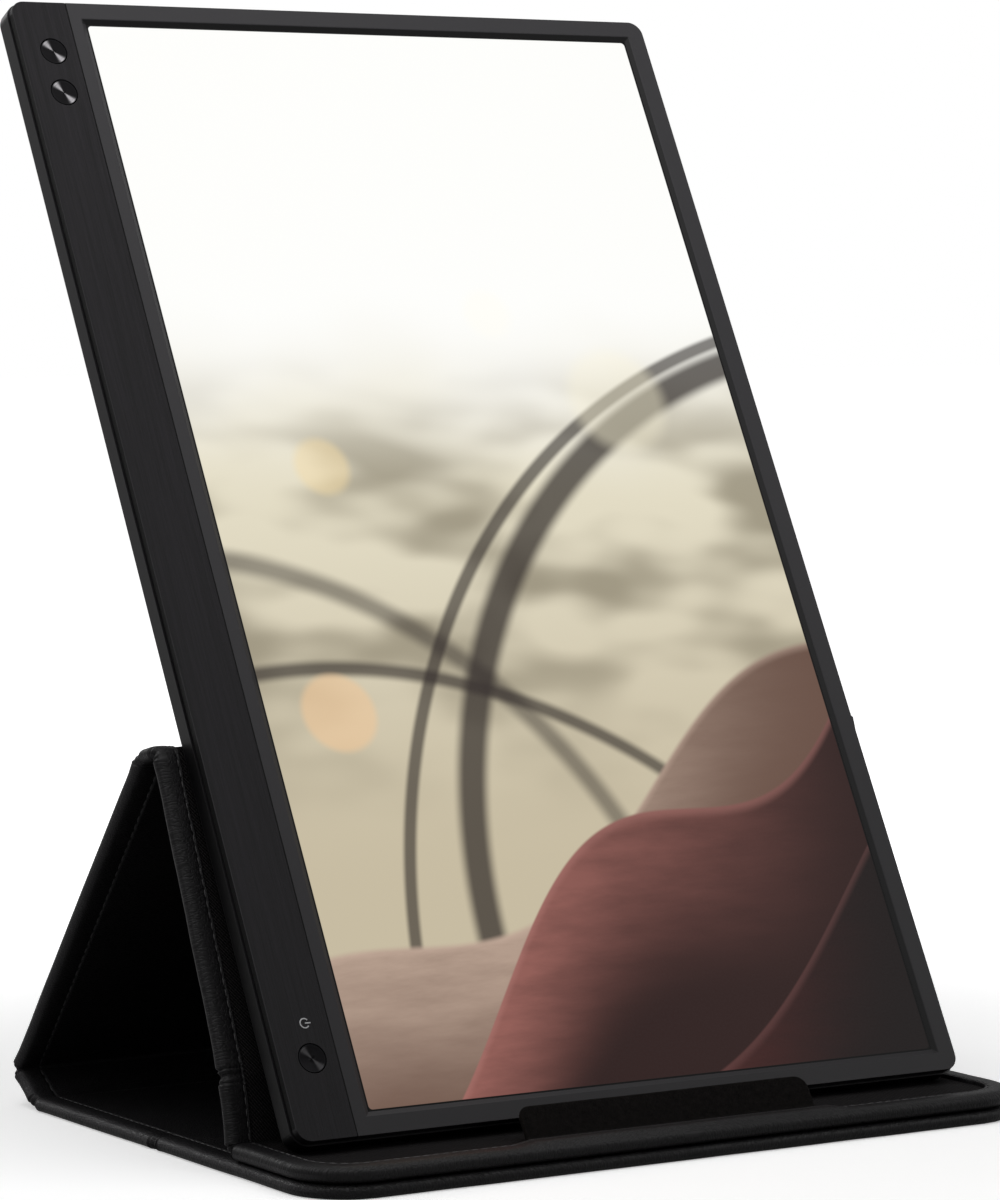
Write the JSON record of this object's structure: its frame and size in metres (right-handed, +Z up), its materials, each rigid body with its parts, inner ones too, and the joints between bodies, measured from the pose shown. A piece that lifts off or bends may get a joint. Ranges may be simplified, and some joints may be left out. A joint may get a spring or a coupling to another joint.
{
  "type": "portable monitor with folding stand cover",
  "caption": "Slim portable monitor standing upright on its own folding leather cover, leaning on a triangular stand with its foot behind a felt tab.",
  "frame": {"origin": "on the table, under the middle of the object's width and depth", "axes": "+X to the right across the screen, +Y from the front edge of the cover to the back, +Z up"},
  "size_m": [0.242, 0.2034, 0.327],
  "materials": {
    "cover_leather": "soft grained sheen",
    "cover_lining": "woven twill",
    "stiffener_board": "plain",
    "felt": "brushed felt",
    "magnet": "plated",
    "shell_plastic": "fine matte",
    "frame_plastic": "satin",
    "strip_plastic": "brushed",
    "display_glass": "semi-matte",
    "optical_film": "diffusing",
    "light_guide": "clear",
    "lamp_strip": "plain",
    "chassis_metal": "plain",
    "circuit_board": "solder mask",
    "shield_metal": "plated",
    "switch_plastic": "plain",
    "screw_steel": "plated",
    "ribbon": "film",
    "button_metal": "spun black"
  },
  "bodies": {
    "base": {"base_leather": "cover_leather", "base_board": "stiffener_board", "base_lining": "cover_lining", "base_magnets": "magnet"},
    "floor": {"floor_rear_leather": "cover_leather", "floor_rear_board": "stiffener_board", "floor_rear_lining": "cover_lining", "floor_seam": "cover_leather", "rear_seam_lower": "cover_leather"},
    "floor_flap": {"floor_front_leather": "cover_leather", "floor_front_board": "stiffener_board", "floor_front_lining": "cover_lining", "floor_magnets": "magnet"},
    "rear_strip": {"rear_strip_leather": "cover_leather", "rear_strip_board": "stiffener_board", "rear_strip_lining": "cover_lining", "rear_seam_upper": "cover_leather"},
    "rear_leg": {"rear_leg_leather": "cover_leather", "rear_leg_board": "stiffener_board", "rear_leg_lining": "cover_lining"},
    "ridge": {"ridge_leather": "cover_leather", "ridge_board": "stiffener_board", "ridge_lining": "cover_lining", "ridge_seam_rear": "cover_leather", "ridge_seam_front": "cover_leather"},
    "front_leg": {"front_leg_leather": "cover_leather", "front_leg_board": "stiffener_board", "front_leg_lining": "cover_lining"},
    "front_strip": {"front_strip_leather": "cover_leather", "front_strip_board": "stiffener_board", "front_strip_lining": "cover_lining", "front_seam_upper": "cover_leather", "front_seam_lower": "cover_leather"},
    "tab": {"felt_tab": "felt"},
    "monitor": {"rear_shell": "shell_plastic", "front_frame": "frame_plastic", "control_strip": "strip_plastic", "screen_glass": "display_glass", "optical_films": "optical_film", "light_guide": "light_guide", "reflector_sheet": "optical_film", "led_bar": "lamp_strip", "panel_chassis": "chassis_metal", "main_board": "circuit_board", "shield_can": "shield_metal", "key_switches": "switch_plastic", "usb_socket": "shield_metal", "driver_board": "circuit_board", "power_board": "circuit_board", "board_screws": "screw_steel", "driver_ribbon": "ribbon", "power_ribbon": "ribbon", "panel_ribbon": "ribbon"},
    "menu_button_upper": {"menu_button_upper": "button_metal"},
    "menu_button_lower": {"menu_button_lower": "button_metal"},
    "power_button": {"power_button": "button_metal"}
  },
  "joints": [
    {"name": "front_fold_lower", "type": "hinge", "parent": "base", "child": "front_strip", "pos_m": [0, -0.05135, 0.006], "axis": [-1, 0, 0], "range_deg": [0, 77.5]},
    {"name": "front_fold_upper", "type": "hinge", "parent": "front_strip", "child": "front_leg", "pos_m": [0, -0.04681, 0.0265], "axis": [1, 0, 0], "range_deg": [0, 11.1]},
    {"name": "ridge_fold_front", "type": "hinge", "parent": "front_leg", "child": "ridge", "pos_m": [0, -0.00925, 0.11246], "axis": [1, 0, 0], "range_deg": [0, 79.2]},
    {"name": "ridge_fold_rear", "type": "hinge", "parent": "ridge", "child": "rear_leg", "pos_m": [0, 0.0005, 0.11024], "axis": [1, 0, 0], "range_deg": [0, 38.83]},
    {"name": "rear_fold_upper", "type": "hinge", "parent": "rear_leg", "child": "rear_strip", "pos_m": [0, 0.07945, 0.01051], "axis": [1, 0, 0], "range_deg": [0, 94.97]},
    {"name": "rear_fold_lower", "type": "hinge", "parent": "rear_strip", "child": "floor", "pos_m": [0, 0.06685, 0.0022], "axis": [1, 0, 0], "range_deg": [0, 33.4]},
    {"name": "floor_fold", "type": "hinge", "parent": "floor", "child": "floor_flap", "pos_m": [0, -0.00775, 0.0022], "axis": [1, 0, 0], "range_deg": [0, 90]},
    {"name": "tab_fold", "type": "hinge", "parent": "base", "child": "tab", "pos_m": [0, -0.09085, 0.0086], "axis": [1, 0, 0], "range_deg": [-45, 77]},
    {"name": "monitor_lift", "type": "slide", "parent": "base", "child": "monitor", "axis": [0, 0.4756, 0.8796], "range_m": [0, 0.2]},
    {"name": "menu_button_upper_press", "type": "slide", "parent": "monitor", "child": "menu_button_upper", "axis": [0, 0.8796, -0.4756], "range_m": [0, 0.0005], "stiffness_N_per_m": 500, "springref_m": -0.0008},
    {"name": "menu_button_lower_press", "type": "slide", "parent": "monitor", "child": "menu_button_lower", "axis": [0, 0.8796, -0.4756], "range_m": [0, 0.0005], "stiffness_N_per_m": 500, "springref_m": -0.0008},
    {"name": "power_button_press", "type": "slide", "parent": "monitor", "child": "power_button", "axis": [0, 0.8796, -0.4756], "range_m": [0, 0.0005], "stiffness_N_per_m": 500, "springref_m": -0.0008}
  ],
  "couplings": [
    {"joint": "front_fold_upper", "follows": "front_fold_lower", "ratio": 0.14322},
    {"joint": "ridge_fold_front", "follows": "front_fold_lower", "ratio": 1.0219},
    {"joint": "ridge_fold_rear", "follows": "front_fold_lower", "ratio": 0.50103},
    {"joint": "rear_fold_lower", "follows": "rear_fold_upper", "ratio": 0.35169}
  ]
}
